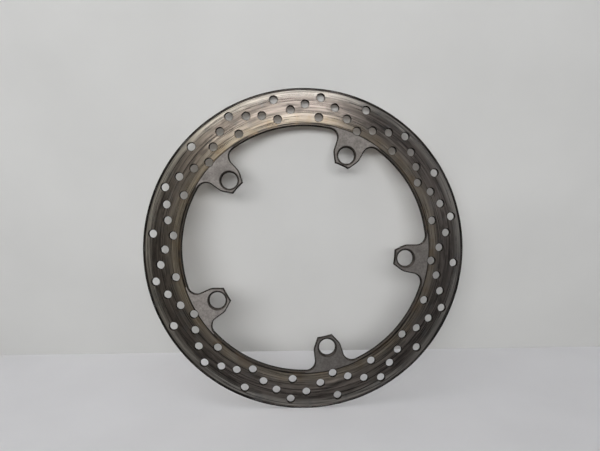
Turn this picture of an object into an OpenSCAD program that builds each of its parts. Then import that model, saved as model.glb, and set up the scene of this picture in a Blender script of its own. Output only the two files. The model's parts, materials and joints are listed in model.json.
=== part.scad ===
// Drilled brake disc with five mounting lugs, cut from one steel plate.
// It stands upright: the wheel axis is Y, the outer face looks to -Y, up is +Z,
// and the origin is the disc's centre, half way through the plate. Millimetres.

/* [Plate] */
// Outside diameter of the disc
disc_d = 320; // [290:1:340]
// Thickness of the plate where no pad has worn it
plate_t = 5; // [4:0.1:7]
// Width of the ring, from its inner edge to the rim
ring_w = 37.5; // [34:0.5:46]
// Chamfer along both edges of the rim
rim_chamfer = 1; // [0.3:0.1:1.5]
// Turn of the first lug from +X, anticlockwise on the outer face
clock_angle = -5.7; // [-36:0.1:36]

/* [Pad track] */
// Width of the unworn lip between the ring's inner edge and the pad track
inner_lip = 2.5; // [1.5:0.1:4]
// Width of the unworn lip between the pad track and the rim
outer_lip = 1.8; // [1.6:0.1:3]
// Depth that the pads have worn from each face
wear_depth = 0.25; // [0.05:0.05:0.5]
// Width of the slope at each edge of the pad track
wear_slope = 0.4; // [0.2:0.1:0.8]

/* [Lugs] */
// Number of lugs
lug_count = 5; // [4:1:6]
// Distance from the ring's inner edge in to the centre of a lug's hole
lug_reach = 21; // [17:0.5:26]
// Diameter of a lug's hole
lug_hole_d = 16; // [10:0.5:17]
// Chamfer at both mouths of a lug's hole
lug_hole_chamfer = 1.5; // [0.5:0.1:2]
// Width of metal between a lug's hole and the tip of the lug
lug_tip_wall = 2.9; // [2.2:0.1:6]
// Width across the two corners of a lug's tip
lug_tip_w = 14.8; // [8:0.1:18]
// Width of metal between a lug's hole and each of its shoulders
lug_shoulder_wall = 5.7; // [4:0.1:8]
// Distance of the shoulders from the hole's centre, towards the tip
lug_shoulder_drop = 0.7; // [0:0.1:3]
// Radius that rounds each shoulder
lug_shoulder_r = 10; // [4:0.5:11]
// Angle that each side of a lug opens towards the ring
lug_flare = 5.6; // [0:0.1:12]
// Radius of the fillet between a lug's side and the ring
lug_fillet_r = 9; // [4:0.5:12]

/* [Drilled holes] */
// Diameter of a drilled hole
vent_d = 8; // [5:0.5:9.5]
// Chamfer at both mouths of a drilled hole, from the unworn faces
vent_chamfer = 0.75; // [0.3:0.05:1]
// Distance from the rim in to the outermost row of holes
vent_rim_margin = 8.8; // [8:0.1:11]
// Distance from the ring's inner edge out to the row of holes between the lugs
vent_bay_margin = 8.9; // [8.5:0.1:11]
// Distance from the ring's inner edge out to the hole above each lug
vent_lug_margin = 5.8; // [5.2:0.1:8]
// Place of the first hole down from the rim row towards the bay, as a share of the way
vent_bay_first = 0.36; // [0.25:0.01:0.45]
// Place of the second hole down from the rim row towards the bay, as a share of the way
vent_bay_second = 0.62; // [0.55:0.01:0.75]

/* [Hidden] */

// How far a cutter stands past the face that it cuts
over = 1;
// Smoothness of the large circles and of the holes
$fn = 120;

rim_r = disc_d / 2;
ring_r = rim_r - ring_w;
face_z = plate_t / 2;
worn_z = face_z - wear_depth;
track_inner_r = ring_r + inner_lip;
track_outer_r = rim_r - outer_lip;

lug_step = 360 / lug_count;
lug_r = ring_r - lug_reach;
lug_tip_r = lug_r - lug_hole_d / 2 - lug_tip_wall;

// Where a line from point p along direction dir leaves a circle of radius r about the disc's centre
function leaves_circle(p, dir, r) = p + dir * (sqrt((p * dir) * (p * dir) - p * p + r * r) - p * dir);

// Half of a lug's outline, with x along the disc's radius and y to one side
tip_corner = [sqrt(lug_tip_r * lug_tip_r - lug_tip_w * lug_tip_w / 4), lug_tip_w / 2];
shoulder = [lug_r - lug_shoulder_drop, lug_hole_d / 2 + lug_shoulder_wall];
side_dir = [cos(lug_flare), sin(lug_flare)];
side_out = [-sin(lug_flare), cos(lug_flare)];
taper_dir = (shoulder - tip_corner) / norm(shoulder - tip_corner);

// The shoulder's round touches both straight edges at the same distance from the corner
shoulder_turn = atan2(taper_dir[1], taper_dir[0]) - lug_flare;
shoulder_run = lug_shoulder_r * tan(shoulder_turn / 2);
round_from = shoulder - taper_dir * shoulder_run;
round_to = shoulder + side_dir * shoulder_run;
round_centre = round_to - side_out * lug_shoulder_r;

// The fillet's centre lies one radius off the lug's side and one radius inside the ring's edge
fillet_orbit = ring_r - lug_fillet_r;
fillet_centre = leaves_circle(shoulder + side_out * lug_fillet_r, side_dir, fillet_orbit);
fillet_from = fillet_centre - side_out * lug_fillet_r;
fillet_angle = atan2(fillet_centre[1], fillet_centre[0]);

// Drilled rows. From the hole above a lug the row climbs to the rim in equal steps,
// and from the rim it comes down again to the middle of the bay.
vent_rim_r = rim_r - vent_rim_margin;
vent_bay_r = ring_r + vent_bay_margin;
vent_lug_r = ring_r + vent_lug_margin;
climb_steps = 3;
vent_climb = (vent_rim_r - vent_lug_r) / climb_steps;
vent_drop = vent_rim_r - vent_bay_r;
// Stations from the middle of a lug to the middle of a bay, and the radii drilled at each
vent_stations = [
    [vent_lug_r, vent_rim_r],
    [vent_lug_r + vent_climb],
    [vent_lug_r + 2 * vent_climb],
    [vent_bay_r, vent_rim_r],
    [vent_rim_r - vent_bay_first * vent_drop],
    [vent_rim_r - vent_bay_second * vent_drop],
    [vent_bay_r, vent_rim_r]
];
last_station = len(vent_stations) - 1;
vent_step = lug_step / (2 * last_station);

// Section of the blank on one side of the axis: a round plate with a chamfered rim and worn pad tracks
module blank_section() {
    polygon([
        [0, -face_z],
        [track_inner_r, -face_z],
        [track_inner_r + wear_slope, -worn_z],
        [track_outer_r - wear_slope, -worn_z],
        [track_outer_r, -face_z],
        [rim_r - rim_chamfer, -face_z],
        [rim_r, rim_chamfer - face_z],
        [rim_r, face_z - rim_chamfer],
        [rim_r - rim_chamfer, face_z],
        [track_outer_r, face_z],
        [track_outer_r - wear_slope, worn_z],
        [track_inner_r + wear_slope, worn_z],
        [track_inner_r, face_z],
        [0, face_z]
    ]);
}

// The opening beside a lug, on its left: it follows the tapered tip, the rounded shoulder
// and the flared side, and ends in the fillet to the ring
module lug_flank() {
    difference() {
        polygon([
            tip_corner - taper_dir * over,
            round_from,
            round_to,
            fillet_from,
            fillet_centre,
            fillet_centre * ((lug_tip_r - over) / fillet_orbit)
        ]);
        translate(round_centre) circle(r = lug_shoulder_r);
    }
    translate(fillet_centre) circle(r = lug_fillet_r);
}

// The opening between a lug and the next one
module bay() {
    intersection() {
        circle(r = ring_r);
        polygon([
            [0, 0],
            disc_d * [cos(fillet_angle), sin(fillet_angle)],
            disc_d * [cos(lug_step - fillet_angle), sin(lug_step - fillet_angle)]
        ]);
    }
    lug_flank();
    rotate(lug_step) mirror([0, 1]) lug_flank();
}

// The whole opening in the middle of the disc, which leaves the lugs standing
module hub_opening() {
    circle(r = lug_tip_r);
    for (i = [0 : lug_count - 1]) rotate(i * lug_step) bay();
}

// Cutter for a hole through the plate, chamfered at both mouths
module chamfered_hole(d, chamfer) {
    cylinder(h = plate_t + 2 * over, d = d, center = true);
    for (side = [0, 1]) mirror([0, 0, side])
        translate([0, 0, face_z - chamfer])
            cylinder(h = chamfer + over, d1 = d, d2 = d + 2 * (chamfer + over));
}

// All drilled holes of one lug's share of the ring, with its far bay's middle row left to the next lug
module vent_holes() {
    for (i = [0 : last_station], side = i == 0 || i == last_station ? [1] : [1, -1])
        for (r = vent_stations[i])
            rotate(side * i * vent_step) translate([r, 0, 0]) chamfered_hole(vent_d, vent_chamfer);
}

// The whole disc lying flat, outer face up
module flat_disc() {
    difference() {
        rotate_extrude() blank_section();
        translate([0, 0, -face_z - over]) linear_extrude(plate_t + 2 * over) hub_opening();
        for (i = [0 : lug_count - 1]) rotate(i * lug_step) {
            translate([lug_r, 0, 0]) chamfered_hole(lug_hole_d, lug_hole_chamfer);
            vent_holes();
        }
    }
}

module brake_disc() {
    color([0.42, 0.40, 0.37]) rotate([90, 0, 0]) rotate(clock_angle) flat_disc();
}

brake_disc();
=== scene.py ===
import json
from math import atan2, ceil, cos, pi, radians, sin, sqrt, tan

import bpy
import numpy as np
from mathutils import Euler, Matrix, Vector
from mathutils.geometry import delaunay_2d_cdt


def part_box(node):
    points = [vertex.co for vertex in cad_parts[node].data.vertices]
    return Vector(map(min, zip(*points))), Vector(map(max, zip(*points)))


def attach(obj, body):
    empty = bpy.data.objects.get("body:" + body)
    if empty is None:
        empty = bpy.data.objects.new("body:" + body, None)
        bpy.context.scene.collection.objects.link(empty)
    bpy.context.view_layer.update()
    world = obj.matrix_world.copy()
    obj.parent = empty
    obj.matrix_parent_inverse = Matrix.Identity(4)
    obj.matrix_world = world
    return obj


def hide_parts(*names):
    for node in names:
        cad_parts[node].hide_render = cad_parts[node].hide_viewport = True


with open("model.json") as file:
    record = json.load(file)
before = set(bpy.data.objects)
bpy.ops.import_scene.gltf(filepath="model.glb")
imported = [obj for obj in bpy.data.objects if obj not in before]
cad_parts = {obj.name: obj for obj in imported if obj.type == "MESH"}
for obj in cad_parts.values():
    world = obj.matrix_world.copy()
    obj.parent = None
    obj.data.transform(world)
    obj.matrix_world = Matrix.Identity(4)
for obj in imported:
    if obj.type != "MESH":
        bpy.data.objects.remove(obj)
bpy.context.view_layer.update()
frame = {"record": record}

# A used brake disc: one drilled steel plate with five lugs, worn by the pads on both faces.
# The wheel axis is Y, the outer face looks to -Y, up is +Z.
# Sizes of the disc are in millimetres, sizes of the stage in metres.
MM = 0.001
plate_low, plate_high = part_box("brake_disc")
lug_dims = next(mount["dims"] for mount in frame["record"]["mounts"] if mount["name"] == "lug_holes")

# Plate: radius, height of a face above its middle, width of the ring, chamfer of the rim, soft edge of the
# hub opening, and the angle from +X to the first lug
RIM_R = round((plate_high.x - plate_low.x) / 2 / MM, 1)
FACE = round((plate_high.y - plate_low.y) / 2 / MM, 2)
RING_W = 37.5
RING_R = RIM_R - RING_W
RIM_CHAMFER = 1.0
EDGE_BREAK = 1.1
FIRST_LUG = radians(-5.7)

# Pad track, between two unworn lips
INNER_LIP = 2.5
OUTER_LIP = 1.8
TRACK_INNER_R = RING_R + INNER_LIP
TRACK_OUTER_R = RIM_R - OUTER_LIP
WEAR_DEPTH = 0.25
WEAR_SLOPE = 0.4
# Shallow rings that the pads have worn: height and wavelength of each
WEAR_RINGS = ((0.016, 9.1), (0.010, 4.3), (0.006, 2.9))

# Lugs
LUG_COUNT = lug_dims["count"]
LUG_STEP = 2 * pi / LUG_COUNT
LUG_R = lug_dims["pcd_mm"] / 2
LUG_HOLE_R = lug_dims["hole_r_mm"]
LUG_HOLE_CHAMFER = 1.5
LUG_TIP_WALL = 2.9
LUG_TIP_R = LUG_R - LUG_HOLE_R - LUG_TIP_WALL
LUG_TIP_W = 14.8
LUG_SHOULDER_WALL = 5.7
LUG_SHOULDER_DROP = 0.7
LUG_SHOULDER_R = 10.0
LUG_FLARE = radians(5.6)
LUG_FILLET_R = 9.0
# Angle from a lug's middle to where the lip between the lugs begins
LIP_FROM = radians(12.5)

# Drilled holes, in rows that climb from a lug to the rim in equal steps and then drop to the bay by these
# shares of the way
VENT_R = 4.0
VENT_CHAMFER = 0.75
VENT_RIM_MARGIN = 8.8
VENT_BAY_MARGIN = 8.9
VENT_LUG_MARGIN = 5.8
VENT_RIM_R = RIM_R - VENT_RIM_MARGIN
VENT_BAY_R = RING_R + VENT_BAY_MARGIN
VENT_LUG_R = RING_R + VENT_LUG_MARGIN
VENT_CLIMB_STEPS = 3
VENT_BAY_SHARES = (0.36, 0.62)

# Fineness of the mesh: length of an edge piece, fewest pieces of an arc, rows of a chamfer
EDGE_STEP = 0.9
ARC_PIECES = 3
EDGE_ROWS = 5
# Power in a chamfer's profile: 2 gives a flat chamfer, 1 a quarter round
EDGE_SOFTNESS = 1.8
# Circles of points on the pad track: their pitch and spokes, and for those at its edges the spokes and the
# gap that they keep from a hole
RING_PITCH = 0.85
TRACK_SPOKES = 480
STEP_SPOKES = 1440
STEP_GAP = 0.1
# What the triangulation keeps, which is all that lies inside its borders. Points closer than this are one.
INSIDE_BORDERS = 1
SAME_POINT = 1e-6
# Edges of the mesh that turn by more than this are sharp
SHARP_ANGLE = radians(20)

# Material slots of the disc's mesh
TRACK_SLOT, LUG_SLOT, CHAMFER_SLOT, WALL_SLOT = range(4)
# Order of the disc's edges, which ends with the holes, and the mark of a point that is on no edge
RIM_EDGE, OPENING_EDGE = range(2)
GRID = -1


def arc(centre, radius, start, end):
    """Points on a circle about centre, from angle start up to but not including angle end."""
    count = max(ARC_PIECES, ceil(abs(end - start) * radius / EDGE_STEP))
    turn = np.linspace(start, end, count, endpoint=False)
    return np.asarray(centre) + radius * np.stack([np.cos(turn), np.sin(turn)], axis=1)


def straight(start, end):
    """Points on a straight line from start up to but not including end."""
    count = max(1, ceil(np.linalg.norm(end - start) / EDGE_STEP))
    return start + np.linspace(0, 1, count, endpoint=False)[:, None] * (end - start)


def at_each_lug(points):
    """Flat points of a lug that points to +x, turned about the disc's centre to every lug in turn."""
    angles = FIRST_LUG + LUG_STEP * np.arange(LUG_COUNT)
    turn = np.stack([np.cos(angles), -np.sin(angles), np.sin(angles), np.cos(angles)], axis=1)
    return np.einsum("kij,nj->kni", turn.reshape(-1, 2, 2), points).reshape(-1, 2)


def half_lug_outline():
    """The cut edge from the middle of a lug's tip to the middle of the next bay, on a lug that points to +x:
    tip arc, straight taper, round shoulder, flared side, fillet, and the ring's own inner arc."""
    tip_angle = np.arcsin(LUG_TIP_W / 2 / LUG_TIP_R)
    tip_corner = LUG_TIP_R * np.array([cos(tip_angle), sin(tip_angle)])
    shoulder = np.array([LUG_R - LUG_SHOULDER_DROP, LUG_HOLE_R + LUG_SHOULDER_WALL])
    side = np.array([cos(LUG_FLARE), sin(LUG_FLARE)])
    outward = np.array([-sin(LUG_FLARE), cos(LUG_FLARE)])
    taper = (shoulder - tip_corner) / np.linalg.norm(shoulder - tip_corner)
    taper_angle = atan2(taper[1], taper[0])
    run = LUG_SHOULDER_R * tan((taper_angle - LUG_FLARE) / 2)
    round_centre = shoulder + side * run - outward * LUG_SHOULDER_R
    fillet_line = shoulder + outward * LUG_FILLET_R
    along = fillet_line @ side
    reach = sqrt(along ** 2 - fillet_line @ fillet_line + (RING_R - LUG_FILLET_R) ** 2) - along
    fillet_centre = fillet_line + side * reach
    fillet_angle = atan2(fillet_centre[1], fillet_centre[0])
    return np.concatenate([
        arc((0, 0), LUG_TIP_R, 0, tip_angle),
        straight(tip_corner, shoulder - taper * run),
        arc(round_centre, LUG_SHOULDER_R, taper_angle + pi / 2, LUG_FLARE + pi / 2),
        straight(shoulder + side * run, fillet_centre - outward * LUG_FILLET_R),
        arc(fillet_centre, LUG_FILLET_R, LUG_FLARE - pi / 2, fillet_angle),
        arc((0, 0), RING_R, fillet_angle, LUG_STEP / 2),
    ])


def opening_loop():
    """The whole edge of the hub opening, anticlockwise: each lug is half an outline and its mirror image."""
    half = half_lug_outline()
    mirrored = half[:0:-1] * (1, -1)
    bay_middle = RING_R * np.array([[cos(LUG_STEP / 2), -sin(LUG_STEP / 2)]])
    return at_each_lug(np.concatenate([bay_middle, mirrored, half]))


def vent_centres():
    """Centres of the drilled holes. Stations are a twelfth of the way from lug to lug apart and have holes at
    these radii: the row climbs from above the lug to the rim, then drops to the middle of the bay."""
    climb = (VENT_RIM_R - VENT_LUG_R) / VENT_CLIMB_STEPS
    first, second = (VENT_RIM_R - share * (VENT_RIM_R - VENT_BAY_R) for share in VENT_BAY_SHARES)
    stations = [(VENT_LUG_R, VENT_RIM_R), (VENT_LUG_R + climb,), (VENT_LUG_R + 2 * climb,),
                (VENT_BAY_R, VENT_RIM_R), (first,), (second,), (VENT_BAY_R, VENT_RIM_R)]
    last = len(stations) - 1
    polar = [(side * i * LUG_STEP / 2 / last, r) for i, radii in enumerate(stations) for r in radii
             for side in ((1,) if i in (0, last) else (1, -1))]
    angle, radius = np.array(polar).T
    return at_each_lug(radius[:, None] * np.stack([np.cos(angle), np.sin(angle)], axis=1))


def lug_centres():
    """Centres of the lug holes, evenly round the hole circle."""
    return at_each_lug(np.array([[LUG_R, 0.0]]))


def face_height(flat):
    """Height of either face above the plate's middle at flat points: the full plate on the lips and lugs, and
    between them the worn pad track, with a short slope at each edge and shallow rings from a sum of sines."""
    radius = np.hypot(*flat.T)
    inner = np.clip((radius - TRACK_INNER_R) / WEAR_SLOPE, 0, 1)
    outer = np.clip((TRACK_OUTER_R - radius) / WEAR_SLOPE, 0, 1)
    rings = sum(height * np.sin(2 * pi * (radius - TRACK_INNER_R) / length) for height, length in WEAR_RINGS)
    return FACE - np.minimum(inner, outer) * (WEAR_DEPTH + rings)


def void_normals(loop):
    """Flat normals towards the empty side, on the left of the loop, lengthened at corners as in a mitre."""
    ahead = np.roll(loop, -1, axis=0) - loop
    ahead /= np.linalg.norm(ahead, axis=1, keepdims=True)
    left = np.stack([-ahead[:, 1], ahead[:, 0]], axis=1)
    before = np.roll(left, 1, axis=0)
    return (left + before) / (1 + np.sum(left * before, axis=1, keepdims=True))


def edge_surface(loop, width):
    """Surface of a cut edge: a profile carried along the loop, from the front face to the back face.
    The profile leaves the face, drops in a soft chamfer of the given width, width * (1 - sin^q) in from the
    wall and width * (1 - cos^q) down from the face, and crosses the plate straight. Returns its rows."""
    turn = np.linspace(0, pi / 2, EDGE_ROWS)[:, None]
    inset = width * (1 - np.sin(turn) ** EDGE_SOFTNESS)
    drop = width * (1 - np.abs(np.cos(turn)) ** EDGE_SOFTNESS)
    flat = loop - void_normals(loop) * inset[:, :, None]
    height = face_height(flat[0]) - drop
    front = np.stack([flat[..., 0], -height, flat[..., 1]], axis=2)
    return np.concatenate([front, front[::-1] * (1, -1, 1)])


def circle_loops(centres, radius):
    """One circle about each centre, anticlockwise."""
    ring = arc((0, 0), radius, 0, 2 * pi)
    return [centre + ring for centre in centres]


def disc_edges():
    """All cut edges of the disc: the rim, the hub opening, the lug holes and the drilled holes. The wear of
    the pad track has taken from the chamfers of the drilled holes."""
    edges = [edge_surface(arc((0, 0), RIM_R, 2 * pi, 0), RIM_CHAMFER),
             edge_surface(opening_loop(), EDGE_BREAK)]
    for loop in circle_loops(lug_centres(), LUG_HOLE_R):
        edges.append(edge_surface(loop, LUG_HOLE_CHAMFER))
    for loop in circle_loops(vent_centres(), VENT_R):
        worn = FACE - face_height(loop)
        edges.append(edge_surface(loop, VENT_CHAMFER - worn))
    return edges


def clear_points(radii, spokes, clearance):
    """Points on circles and spokes, with a mark on those that keep the clearance from the chamfer of every
    drilled hole."""
    angle = np.linspace(0, 2 * pi, spokes, endpoint=False)
    points = radii[:, None, None] * np.stack([np.cos(angle), np.sin(angle)], axis=1)
    gap = np.linalg.norm(points[:, :, None] - vent_centres(), axis=3).min(axis=2)
    return points, gap > VENT_R + VENT_CHAMFER + clearance


def face_grid():
    """Points of the ring's face on circles and spokes, clear of every hole and edge. The circles where the
    slopes of the pad track begin and end come first. Also returns the pairs of neighbours along those."""
    inner = TRACK_INNER_R + WEAR_SLOPE
    outer = TRACK_OUTER_R - WEAR_SLOPE
    step_radii = np.array([TRACK_INNER_R, inner, outer, TRACK_OUTER_R])
    track_radii = np.linspace(inner, outer, ceil((outer - inner) / RING_PITCH) + 1)[1:-1]
    steps, on_step = clear_points(step_radii, STEP_SPOKES, STEP_GAP)
    track, on_track = clear_points(track_radii, TRACK_SPOKES, RING_PITCH / 2)
    index = np.where(on_step, np.cumsum(on_step).reshape(on_step.shape) - 1, -1)
    pairs = np.stack([index, np.roll(index, -1, axis=1)], axis=2).reshape(-1, 2)
    return np.concatenate([steps[on_step], track[on_track]]), pairs[(pairs >= 0).all(axis=1)]


def inside(points, loop):
    """Whether each point lies inside the loop: a line from the point to the right crosses the loop an odd
    number of times."""
    x, y = points[:, :1], points[:, 1:]
    start, end = loop.T, np.roll(loop, -1, axis=0).T
    spans = (start[1] > y) != (end[1] > y)
    rise = np.where(spans, end[1] - start[1], 1)
    cross = start[0] + (y - start[1]) * (end[0] - start[0]) / rise
    return (spans & (cross > x)).sum(axis=1) % 2 == 1


def in_metal(flat, triangles, owner, opening):
    """Whether each triangle lies in metal. One with all corners on the same hole's edge lies in that hole,
    and one with its middle inside the opening's edge lies in the opening. Owner is each point's edge."""
    corners = owner[triangles]
    in_hole = (corners[:, 0] > OPENING_EDGE) & (corners == corners[:, :1]).all(axis=1)
    middle = flat[triangles].mean(axis=1)
    near = np.hypot(*middle.T) < TRACK_INNER_R
    in_opening = np.zeros(len(triangles), dtype=bool)
    in_opening[near] = inside(middle[near], opening)
    return ~(in_hole | in_opening)


def flat_face(edges):
    """One face of the disc laid flat: a triangulation between the edges' first rows and the face grid.
    Returns its points, its triangles, and the place among the points where each edge starts."""
    rows = [edge[0][:, [0, 2]] for edge in edges]
    sizes = np.array([len(row) for row in rows])
    starts = np.concatenate([[0], np.cumsum(sizes)])
    grid, step_pairs = face_grid()
    flat = np.concatenate([*rows, grid])
    owner = np.repeat(np.arange(len(rows) + 1), [*sizes, len(grid)])
    owner[starts[-1]:] = GRID
    borders = [start + np.stack([np.arange(size), (np.arange(size) + 1) % size], axis=1)
               for start, size in zip(starts, sizes)]
    borders = np.concatenate([*borders, starts[-1] + step_pairs])
    made = delaunay_2d_cdt(flat.tolist(), borders.tolist(), [], INSIDE_BORDERS, SAME_POINT, False)
    triangles = np.array(made[2])
    return flat, triangles[in_metal(flat, triangles, owner, rows[OPENING_EDGE])], starts


def face_slots(flat, triangles):
    """Material slot of each triangle of a face: the pad track with both lips, or a lug."""
    x, y = flat[triangles].mean(axis=1).T
    off_lug = np.abs((np.arctan2(y, x) - FIRST_LUG + LUG_STEP / 2) % LUG_STEP - LUG_STEP / 2)
    on_ring = (np.hypot(x, y) > TRACK_INNER_R) | (off_lug > LIP_FROM)
    return np.where(on_ring, TRACK_SLOT, LUG_SLOT)


def disc_mesh():
    """The whole disc as one closed surface: the flat face lifted to its worn height, its mirror image at the
    back, and the edges, which join the two. Returns points, faces and their material slots."""
    edges = disc_edges()
    flat, triangles, starts = flat_face(edges)
    front = np.stack([flat[:, 0], -face_height(flat), flat[:, 1]], axis=1)
    points = [front, front * (1, -1, 1)]
    slots = 2 * [face_slots(flat, triangles)]
    total = 2 * len(flat)
    quads = []
    for number, (edge, start) in enumerate(zip(edges, starts)):
        size = edge.shape[1]
        middle_rows = edge[1:-1].reshape(-1, 3)
        points.append(middle_rows)
        first = start + np.arange(size)
        between = total + np.arange(len(middle_rows)).reshape(-1, size)
        total += len(middle_rows)
        rows = np.concatenate([first[None], between, first[None] + len(flat)])
        ahead = np.roll(rows, -1, axis=1)
        quads.append(np.stack([rows[:-1], ahead[:-1], ahead[1:], rows[1:]], axis=2).reshape(-1, 4))
        row_slot = np.full(len(rows) - 1, WALL_SLOT if number == RIM_EDGE else CHAMFER_SLOT)
        row_slot[EDGE_ROWS - 1] = WALL_SLOT
        slots.append(np.repeat(row_slot, size))
    back = triangles[:, ::-1] + len(flat)
    faces = triangles.tolist() + back.tolist() + np.concatenate(quads).tolist()
    return np.concatenate(points) * MM, faces, np.concatenate(slots)


def make_piece(name, points, faces):
    """A smooth mesh object at the origin, with its place in its points."""
    mesh = bpy.data.meshes.new(name)
    mesh.from_pydata(points.tolist(), [], faces)
    mesh.polygons.foreach_set("use_smooth", np.ones(len(faces), dtype=bool))
    piece = bpy.data.objects.new(name, mesh)
    bpy.context.scene.collection.objects.link(piece)
    return piece


# Shader helpers

def node(tree, kind, inputs=None, **settings):
    """Adds a shader node. An input is either a value or another node's output socket."""
    made = tree.nodes.new("ShaderNode" + kind)
    for name, value in settings.items():
        setattr(made, name, value)
    for key, value in (inputs or {}).items():
        if isinstance(value, bpy.types.NodeSocket):
            tree.links.new(value, made.inputs[key])
        else:
            made.inputs[key].default_value = value
    return made


def calc(tree, operation, a, b=0.0, c=0.0):
    """One arithmetic step on up to three values."""
    return node(tree, "Math", {0: a, 1: b, 2: c}, operation=operation).outputs[0]


def vector(tree, operation, a, b=(0, 0, 0)):
    """One step on one or two vectors. Returns the outputs, Vector and Value."""
    return node(tree, "VectorMath", {0: a, 1: b}, operation=operation).outputs


def blend(tree, share, a, b, mode="MIX"):
    """Colour a blended with colour b."""
    return node(tree, "Mix", {0: share, 6: a, 7: b}, data_type="RGBA", blend_type=mode).outputs[2]


def stretch(tree, value, low, high, to_low=0.0, to_high=1.0):
    """Maps a value from low..high to to_low..to_high, clamped."""
    return node(tree, "MapRange", {0: value, 1: low, 2: high, 3: to_low, 4: to_high}).outputs[0]


def shaded(tree, colour, value, low, high, to_low, to_high):
    """Colour times a factor that runs from to_low to to_high as the value runs from low to high."""
    return blend(tree, 1.0, colour, stretch(tree, value, low, high, to_low, to_high), "MULTIPLY")


def bands(tree, place, stops):
    """Colour by place: (place, red, green, blue) stops from place 0 on, blended from each to the next."""
    length = stops[-1][0]
    ramp = node(tree, "ValToRGB", {0: stretch(tree, place, 0, length)})
    elements = ramp.color_ramp.elements
    while len(elements) < len(stops):
        elements.new(0.5)
    for element, (at, *colour) in zip(elements, stops):
        element.position = at / length
        element.color = (*colour, 1)
    return ramp.outputs[0]


def noise(tree, place, scale, detail, roughness):
    """Soft noise from 0 to 1 about 0.5."""
    inputs = {"Vector": place, "Scale": scale, "Detail": detail, "Roughness": roughness}
    return node(tree, "TexNoise", inputs).outputs[0]


def bump(tree, height, depth):
    """Normal from a height of 0 to 1, where 1 stands depth millimetres proud."""
    return node(tree, "Bump", {"Height": height, "Strength": 1.0, "Distance": depth * MM}).outputs[0]


def from_axis(tree):
    """Object coordinates without their part along the wheel axis."""
    return vector(tree, "MULTIPLY", node(tree, "TexCoord").outputs["Object"], (1, 0, 1))["Vector"]


def towards(tree, outward, angle):
    """How far a direction out from the wheel axis turns towards an angle from +X: 1 at that angle and 0 a
    quarter turn off."""
    return vector(tree, "DOT_PRODUCT", outward, (cos(angle), 0, sin(angle)))["Value"]


def new_group(name, inputs, outputs):
    """An empty shader node group with named float inputs (and their values) and float outputs."""
    group = bpy.data.node_groups.new(name, "ShaderNodeTree")
    for label, value in inputs.items():
        socket = group.interface.new_socket(label, in_out="INPUT", socket_type="NodeSocketFloat")
        socket.default_value = value
    for label in outputs:
        group.interface.new_socket(label, in_out="OUTPUT", socket_type="NodeSocketFloat")
    return group, group.nodes.new("NodeGroupInput").outputs, group.nodes.new("NodeGroupOutput").inputs


def use_group(tree, group, **inputs):
    """Places a node group in a material and returns its outputs."""
    return node(tree, "Group", inputs, node_tree=group).outputs


def ring_marks_group():
    """Marks that run round the wheel axis: noise that is fine across the rings and long along them.
    Bands is how many marks there are per millimetre of radius, Patches how often they change in a radian."""
    inputs = {"Bands": 1.0, "Patches": 4.0, "Seed": 0.0, "Detail": 3.0}
    group, given, out = new_group("Ring marks", inputs, ("Mark", "Radius"))
    flat = from_axis(group)
    radius = calc(group, "DIVIDE", vector(group, "LENGTH", flat)["Value"], MM)
    ahead = vector(group, "NORMALIZE", flat)["Vector"]
    along = node(group, "VectorMath", {0: ahead, "Scale": given["Patches"]}, operation="SCALE").outputs[0]
    across = calc(group, "MULTIPLY_ADD", radius, given["Bands"], given["Seed"])
    across = node(group, "CombineXYZ", {"Y": across}).outputs[0]
    spot = vector(group, "ADD", along, across)["Vector"]
    mark = noise(group, spot, scale=1.0, detail=given["Detail"], roughness=0.6)
    group.links.new(mark, out["Mark"])
    group.links.new(radius, out["Radius"])
    return group


def stains_group():
    """Patchy dirt and oxide: soft clouds and small specks, both from noise in the disc's own space."""
    group, given, out = new_group("Stains", {"Clouds": 60.0, "Specks": 900.0}, ("Cloud", "Speck"))
    place = node(group, "TexCoord").outputs["Object"]
    cloud = noise(group, place, scale=given["Clouds"], detail=5.0, roughness=0.6)
    speck = noise(group, place, scale=given["Specks"], detail=3.0, roughness=0.7)
    group.links.new(stretch(group, cloud, 0.35, 0.68), out["Cloud"])
    group.links.new(stretch(group, speck, 0.42, 0.66), out["Speck"])
    return group


def new_material(name, **constants):
    """A material with one Principled shader. Constants go on the shader's own sockets."""
    material = bpy.data.materials.new(name)
    material.use_nodes = True
    shader = material.node_tree.nodes["Principled BSDF"]
    for label, value in constants.items():
        shader.inputs[label.replace("_", " ")].default_value = value
    return material, material.node_tree, shader.inputs


# Finishes. Colours are linear. The steel is dirty, so its specular level is low.
STEEL_SPECULAR = 0.2
# Height of the marks on the pad track, and of the specks everywhere else
MARK_DEPTH = 0.07
SPECK_DEPTH = 0.03

# Colour of the ring by distance from its inner edge: lip, dirty step, straw-coloured inner track, brown
# middle among the holes, cleaner outer track, dirty step and rim
RING_BANDS = (
    (0.0, 0.124, 0.111, 0.095),
    (1.3, 0.124, 0.111, 0.095),
    (1.6, 0.009, 0.008, 0.007),
    (2.9, 0.010, 0.009, 0.008),
    (3.7, 0.198, 0.174, 0.143),
    (8.1, 0.195, 0.172, 0.143),
    (11.5, 0.172, 0.154, 0.137),
    (19.1, 0.158, 0.139, 0.129),
    (27.7, 0.108, 0.096, 0.089),
    (30.9, 0.192, 0.181, 0.169),
    (34.6, 0.202, 0.191, 0.179),
    (35.2, 0.010, 0.009, 0.008),
    (RING_W, 0.008, 0.007, 0.007),
)
# What lies on the ring, and the tint that heat has left on it
OXIDE_BROWN = (0.100, 0.084, 0.079, 1)
RUST = (0.150, 0.108, 0.068, 1)
BLUED_STEEL = (0.112, 0.114, 0.118, 1)
PAD_SMEAR = (0.035, 0.031, 0.029, 1)
STRAW_TINT = (0.97, 0.94, 0.85, 1)
# Where rust, bluing and smears fade on the ring: distances from its inner edge with none and with all of it
RUST_ENDS = (14, 8)
BLUING_STARTS = (7.5, 12.5)
SMEARS_START = (11, 16)
SMEARS_END = (32.5, 29)
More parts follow.
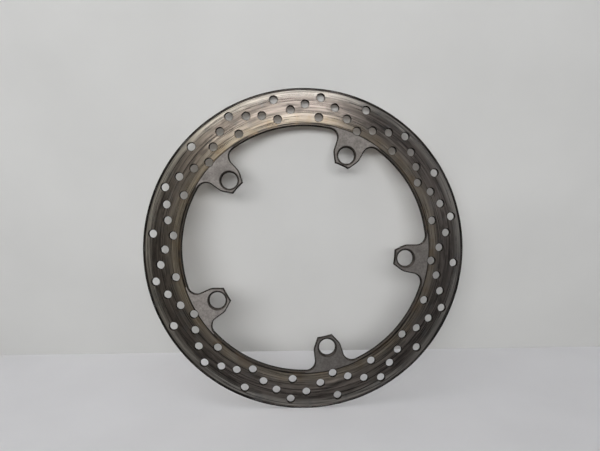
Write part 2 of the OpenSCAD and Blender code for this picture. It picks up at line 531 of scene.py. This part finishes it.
# The side of the ring with painted shade and the side with the most heat tint, as angles from +X
SHADED_SIDE = radians(305)
STRAW_SIDE = radians(170)
# Low and high values of the ring marks
MARK_RANGE = (0.36, 0.64)
TRACK_ROUGHNESS = (0.25, 0.37)
# How metallic the ring is: the track's middle as a distance from the ring's inner edge, then two distances
# from that middle with the share at each, on the track and on the lips
TRACK_MIDDLE = 19
TRACK_METAL = (7.5, 11.5, 0.93, 0.74)
LIP_METAL = (16.4, 16.9, 1.0, 0.55)

# Lugs: clean and stained steel, specks, dirt around the seat of the hole and along the step to the pad track
LUG_STEEL = (0.176, 0.166, 0.161, 1)
LUG_STAIN = (0.128, 0.119, 0.115, 1)
LUG_SPECKS = (0.075, 0.070, 0.068, 1)
LUG_ROUGHNESS = (0.58, 0.70)
SEAT_DIRT = (0.022, 0.019, 0.018, 1)
STEP_DIRT = (0.018, 0.016, 0.014, 1)
# Distances from the seat and from the step with no dirt and with all of it
SEAT_DIRT_FADE = (0.6, 0.1)
STEP_DIRT_FADE = (0.8, 0.3)
# The lug that is made lightest, with the others darker, as an angle from the first lug
LIGHTEST_LUG = 3 * LUG_STEP

# Cut edges, each with a paler and a darker colour
CHAMFER_DIRT = ((0.036, 0.031, 0.028, 1), (0.016, 0.014, 0.012, 1))
CHAMFER_ROUGHNESS = (0.60, 0.75)
# Painted shade: the cut walls are oxide darkened to near black, to stand in for the shade inside the holes
WALL_OXIDE_AND_SHADE = ((0.023, 0.020, 0.018, 1), (0.012, 0.010, 0.009, 1))
WALL_ROUGHNESS = (0.58, 0.74)


def ring_colour(tree, ring_marks, stains, across):
    """The ring's bands of colour, with brown clouds, rust on the inner track, blued patches beyond it and
    dark smears among the holes."""
    clouds = use_group(tree, stains, Clouds=32.0)["Cloud"]
    patches = use_group(tree, stains, Clouds=78.0)["Cloud"]
    smears = use_group(tree, ring_marks, Bands=0.24, Patches=9.0, Seed=120.0, Detail=2.0)["Mark"]
    colour = bands(tree, across, RING_BANDS)
    colour = blend(tree, stretch(tree, clouds, 0.2, 1.0, 0.0, 0.35), colour, OXIDE_BROWN)
    rusted = stretch(tree, patches, 0.35, 1.0, 0.0, 0.55)
    rusted = calc(tree, "MULTIPLY", rusted, stretch(tree, across, *RUST_ENDS))
    colour = blend(tree, rusted, colour, RUST)
    blued = stretch(tree, patches, 0.30, 0.0, 0.0, 0.45)
    blued = calc(tree, "MULTIPLY", blued, stretch(tree, across, *BLUING_STARTS))
    colour = blend(tree, blued, colour, BLUED_STEEL)
    after_start = stretch(tree, across, *SMEARS_START)
    among_holes = calc(tree, "MULTIPLY", after_start, stretch(tree, across, *SMEARS_END))
    smeared = calc(tree, "MULTIPLY", among_holes, stretch(tree, smears, 0.50, 0.63, 0.0, 0.5))
    return blend(tree, smeared, colour, PAD_SMEAR)


def track_material(ring_marks, stains):
    """Pad track and lips: steel rubbed in rings, in broad, thin and scratch-like marks that change its colour
    and height. One side is darkened with painted shade and one is tinted by heat. The middle is the most
    metallic, and the gloss is drawn out across the rings."""
    material, tree, into = new_material("pad_track_steel", Anisotropic=0.82,
                                        Specular_IOR_Level=STEEL_SPECULAR)
    rubbed = use_group(tree, ring_marks, Bands=0.30, Patches=3.5, Seed=3.0, Detail=3.0)
    broad, across = rubbed["Mark"], calc(tree, "SUBTRACT", rubbed["Radius"], RING_R)
    thin = use_group(tree, ring_marks, Bands=0.66, Patches=2.2, Seed=40.0, Detail=2.0)["Mark"]
    scratch = use_group(tree, ring_marks, Bands=1.5, Patches=4.5, Seed=80.0, Detail=2.0)["Mark"]
    outward = vector(tree, "NORMALIZE", from_axis(tree))["Vector"]
    colour = ring_colour(tree, ring_marks, stains, across)
    for mark, darkest, palest in ((broad, 0.80, 1.16), (thin, 0.76, 1.24), (scratch, 0.82, 1.18)):
        colour = shaded(tree, colour, mark, *MARK_RANGE, darkest, palest)
    # Painted shade: the ring is made darker towards its lower right, where its light is dimmer
    colour = shaded(tree, colour, towards(tree, outward, SHADED_SIDE), 0.6, 1.0, 1.0, 0.64)
    heated = stretch(tree, towards(tree, outward, STRAW_SIDE), 0.3, 0.9)
    colour = blend(tree, heated, colour, STRAW_TINT, "MULTIPLY")
    tree.links.new(colour, into["Base Color"])
    off_middle = calc(tree, "ABSOLUTE", calc(tree, "SUBTRACT", across, TRACK_MIDDLE))
    on_track, on_lips = (stretch(tree, off_middle, *metal) for metal in (TRACK_METAL, LIP_METAL))
    tree.links.new(calc(tree, "MULTIPLY", on_track, on_lips), into["Metallic"])
    tree.links.new(stretch(tree, thin, 0.35, 0.65, *TRACK_ROUGHNESS), into["Roughness"])
    height = calc(tree, "MULTIPLY_ADD", broad, 1.2, thin)
    height = calc(tree, "MULTIPLY_ADD", scratch, 0.4, height)
    tree.links.new(bump(tree, height, MARK_DEPTH), into["Normal"])
    tree.links.new(outward, into["Tangent"])
    return material


def lug_material(ring_marks, stains):
    """Lugs: unworn dull grey steel with cloudy stains and specks, one lug lighter and the others darker. A
    dark line of dirt lies around the seat of the hole and along the step to the pad track."""
    material, tree, into = new_material("lug_steel", Metallic=0.85, Specular_IOR_Level=STEEL_SPECULAR)
    stain = use_group(tree, stains, Clouds=140.0, Specks=520.0)
    radius = use_group(tree, ring_marks)["Radius"]
    place = node(tree, "SeparateXYZ", {0: node(tree, "TexCoord").outputs["Object"]}).outputs
    angle = calc(tree, "SUBTRACT", calc(tree, "ARCTAN2", place["Z"], place["X"]), FIRST_LUG)
    colour = blend(tree, stain["Cloud"], LUG_STEEL, LUG_STAIN)
    colour = blend(tree, calc(tree, "MULTIPLY", stain["Speck"], 0.55), colour, LUG_SPECKS)
    # One lug is made lighter and the others darker, by their angle from it
    toward_lightest_lug = calc(tree, "COSINE", calc(tree, "SUBTRACT", angle, LIGHTEST_LUG))
    colour = shaded(tree, colour, toward_lightest_lug, 0.4, 1.0, 0.82, 1.45)
    off_lug = calc(tree, "WRAP", angle, LUG_STEP / 2, -LUG_STEP / 2)
    along = calc(tree, "MULTIPLY", radius, calc(tree, "COSINE", off_lug))
    aside = calc(tree, "MULTIPLY", radius, calc(tree, "SINE", off_lug))
    spot = node(tree, "CombineXYZ", {"X": along, "Y": aside}).outputs[0]
    from_hole = vector(tree, "DISTANCE", spot, (LUG_R, 0, 0))["Value"]
    near_seat = stretch(tree, from_hole, *(LUG_HOLE_R + LUG_HOLE_CHAMFER + off for off in SEAT_DIRT_FADE))
    colour = blend(tree, near_seat, colour, SEAT_DIRT)
    near_step = stretch(tree, radius, *(TRACK_INNER_R - off for off in STEP_DIRT_FADE))
    colour = blend(tree, near_step, colour, STEP_DIRT)
    tree.links.new(colour, into["Base Color"])
    tree.links.new(stretch(tree, stain["Cloud"], 0.0, 1.0, *LUG_ROUGHNESS), into["Roughness"])
    height = calc(tree, "MULTIPLY_ADD", stain["Cloud"], 0.5, stain["Speck"])
    tree.links.new(bump(tree, height, SPECK_DEPTH), into["Normal"])
    return material


def edge_material(name, stains, clouds, specks, colours, roughness, **constants):
    """A dull cut edge, clouded from a paler to a darker colour, with small specks that roughen it."""
    material, tree, into = new_material(name, **constants)
    stain = use_group(tree, stains, Clouds=clouds, Specks=specks)
    tree.links.new(blend(tree, stain["Cloud"], *colours), into["Base Color"])
    tree.links.new(stretch(tree, stain["Speck"], 0.0, 1.0, *roughness), into["Roughness"])
    tree.links.new(bump(tree, stain["Speck"], SPECK_DEPTH), into["Normal"])
    return material


def disc_materials():
    """The disc's materials in the order of its slots: pad track, lugs, dirty chamfers of the holes and of the
    hub opening, and oxidised cut walls darkened further with painted shade, with the whole edge of the rim."""
    ring_marks, stains = ring_marks_group(), stains_group()
    return [
        track_material(ring_marks, stains),
        lug_material(ring_marks, stains),
        edge_material("dirty_chamfer", stains, 220.0, 1400.0, CHAMFER_DIRT, CHAMFER_ROUGHNESS,
                      Metallic=0.6, Specular_IOR_Level=STEEL_SPECULAR),
        edge_material("oxidised_wall", stains, 200.0, 1300.0, WALL_OXIDE_AND_SHADE, WALL_ROUGHNESS,
                      Specular_IOR_Level=0.0),
    ]


def build_disc():
    """The disc itself, in place of the plain solid."""
    points, faces, slots = disc_mesh()
    disc = make_piece("brake_disc_worn", points, faces)
    for material in disc_materials():
        disc.data.materials.append(material)
    disc.data.polygons.foreach_set("material_index", slots.astype(np.int32))
    disc.data.set_sharp_from_angle(angle=SHARP_ANGLE)
    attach(disc, "root")
    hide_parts("brake_disc")


# Stage, in metres. The floor is level and rises a little behind the disc, to the foot of a wall that leans
# over it. Behind the wall it goes on, for views from the back.
FLOOR_Z = -RIM_R * MM
FLOOR_RISE_FROM = 0.006
FLOOR_FRONT = -1.5
FLOOR_BACK = 1.5
WALL_FOOT = (0.0987, -0.1315)
WALL_LEAN = radians(18)
WALL_TOP = 0.34
STAGE_HALF_W = 2.5
FLOOR_PAINT = (0.745, 0.745, 0.765, 1)
WALL_PAINT = (0.76, 0.76, 0.75, 1)


def stage_sheet(name, profile, paint):
    """A plain sheet: a profile of (y, z) points carried straight along X. It shows only from its front side,
    casts no shadow, and neither the disc nor the other sheet is lit by it or mirrors it."""
    ends = np.array([-STAGE_HALF_W, STAGE_HALF_W])
    y, z = np.repeat(profile, len(ends), axis=0).T
    points = np.stack([np.tile(ends, len(profile)), y, z], axis=1)
    left = np.arange(0, len(points) - 2, 2)
    sheet = make_piece(name, points, np.stack([left, left + 1, left + 3, left + 2], axis=1).tolist())
    material, tree, into = new_material(name, Roughness=0.9, Specular_IOR_Level=0.1)
    place = node(tree, "TexCoord").outputs["Object"]
    cloud = noise(tree, place, scale=9.0, detail=3.0, roughness=0.5)
    tree.links.new(shaded(tree, paint, cloud, 0.3, 0.7, 0.97, 1.03), into["Base Color"])
    back = node(tree, "NewGeometry").outputs["Backfacing"]
    painted, clear = tree.nodes["Principled BSDF"], node(tree, "BsdfTransparent")
    shown = node(tree, "MixShader", {0: back, 1: painted.outputs[0], 2: clear.outputs[0]})
    tree.links.new(shown.outputs[0], tree.nodes["Material Output"].inputs[0])
    sheet.data.materials.append(material)
    sheet.visible_shadow = False
    sheet.visible_glossy = False
    sheet.visible_diffuse = False


def build_stage():
    """Pale floor and a pale leaning wall."""
    foot_y, foot_z = WALL_FOOT
    wall_top = (foot_y - (WALL_TOP - foot_z) * tan(WALL_LEAN), WALL_TOP)
    stage_sheet("wall", [WALL_FOOT, wall_top], WALL_PAINT)
    floor = [(FLOOR_FRONT, FLOOR_Z), (FLOOR_RISE_FROM, FLOOR_Z), WALL_FOOT, (FLOOR_BACK, foot_z)]
    stage_sheet("floor", floor, FLOOR_PAINT)


# Light: colours of the lamps and of the surroundings
KEY_LIGHT = (1.0, 0.97, 0.92)
SIDE_LIGHT = (1.0, 0.98, 0.95)
WHITE_LIGHT = (1.0, 1.0, 1.0)
SURROUNDINGS = (0.62, 0.62, 0.62, 1)
# Strength of the surroundings: pale, or dim, which is dimmest below and less by a share on the right
PALE = 0.95
DIM_BELOW, DIM_ABOVE = 0.10, 0.55
DIM_RIGHT_SHARE = 0.68
# Parts of a direction along Z, X and Y between which the dim changes from below to above and from left to
# right, and the pale begins beside the front
DIM_RISE = (-0.30, 0.05)
DIM_TURN = (0.0, 0.4)
FRONT_EDGE = (-0.85, -0.55)


def panel(name, azimuth, elevation, distance, size, watts, colour, for_metal, spread=180):
    """A soft rectangular lamp that faces the disc. It is either mirrored by what is glossy, as the metal is,
    or lights what is dull, as the stage is. Azimuth is to the right of the viewer, angles are in degrees."""
    lamp = bpy.data.lights.new(name, "AREA")
    lamp.shape = "RECTANGLE"
    lamp.size, lamp.size_y = size
    lamp.energy = watts
    lamp.color = colour
    lamp.spread = radians(spread)
    holder = bpy.data.objects.new(name, lamp)
    turn, lift = radians(azimuth), radians(elevation)
    away = Vector((sin(turn) * cos(lift), -cos(turn) * cos(lift), sin(lift)))
    holder.location = away * distance
    holder.rotation_euler = away.to_track_quat("Z", "Y").to_euler()
    holder.visible_camera = False
    holder.visible_glossy = for_metal
    holder.visible_diffuse = not for_metal
    bpy.context.scene.collection.objects.link(holder)


def build_light():
    """Soft panels. The metal mirrors one high in front, which brightens the disc's top, its twin behind for
    the rear face, and four weak ones at the sides. A front fill and an overhead panel light the stage."""
    for name, azimuth, elevation in (("key", -14.5, 42), ("rear_key", 194.5, 24)):
        panel(name, azimuth, elevation, distance=1.25, size=(1.15, 0.55), watts=33,
              colour=KEY_LIGHT, for_metal=True)
    for azimuth in (-55, 55, 125, 235):
        panel(f"side_{azimuth % 360}", azimuth, elevation=22, distance=1.5, size=(0.9, 0.9), watts=2.4,
              colour=SIDE_LIGHT, for_metal=True)
    panel("fill", azimuth=-10, elevation=10, distance=1.9, size=(1.9, 0.5), watts=11.8,
          colour=WHITE_LIGHT, for_metal=False, spread=120)
    panel("overhead", azimuth=-35, elevation=62, distance=1.5, size=(1.4, 1.0), watts=4.6,
          colour=WHITE_LIGHT, for_metal=False)


def build_surroundings():
    """Plain surroundings. The camera sees them pale all round, the metal mirrors them pale except in front,
    where they are dim, and what is dull gets only the dim light."""
    world = bpy.data.worlds.new("surroundings")
    world.use_nodes = True
    tree = world.node_tree
    toward = node(tree, "SeparateXYZ", {0: node(tree, "TexCoord").outputs["Generated"]}).outputs
    dim = stretch(tree, toward["Z"], *DIM_RISE, DIM_BELOW, DIM_ABOVE)
    dim = calc(tree, "MULTIPLY", dim, stretch(tree, toward["X"], *DIM_TURN, 1.0, DIM_RIGHT_SHARE))
    path = node(tree, "LightPath").outputs
    mirrored = calc(tree, "MULTIPLY", stretch(tree, toward["Y"], *FRONT_EDGE), path["Is Glossy Ray"])
    pale = calc(tree, "MAXIMUM", mirrored, path["Is Camera Ray"])
    strength = node(tree, "Mix", {0: pale, 2: dim, 3: PALE}).outputs[0]
    around = node(tree, "Background", {"Color": SURROUNDINGS, "Strength": strength})
    tree.links.new(around.outputs[0], tree.nodes["World Output"].inputs[0])
    bpy.context.scene.world = world


# Camera, from the places of the drilled holes in the photograph
CAMERA_AT = Vector((-28.8, -451.3, 27.5)) * MM
CAMERA_DOWN = radians(0.58)
CAMERA_RIGHT = radians(2.94)
IMAGE_W = 600
FOCAL_PIXELS = 451


def build_camera():
    """A nearly level camera in front of the disc, a little to the left of its centre and above it."""
    data = bpy.data.cameras.new("camera")
    data.lens = data.sensor_width * FOCAL_PIXELS / IMAGE_W
    camera = bpy.data.objects.new("camera", data)
    camera.location = CAMERA_AT
    camera.rotation_euler = Euler((pi / 2 - CAMERA_DOWN, 0, -CAMERA_RIGHT))
    bpy.context.scene.collection.objects.link(camera)
    bpy.context.scene.camera = camera


build_disc()
build_stage()
build_light()
build_surroundings()
build_camera()
bpy.context.scene.view_settings.view_transform = "Standard"
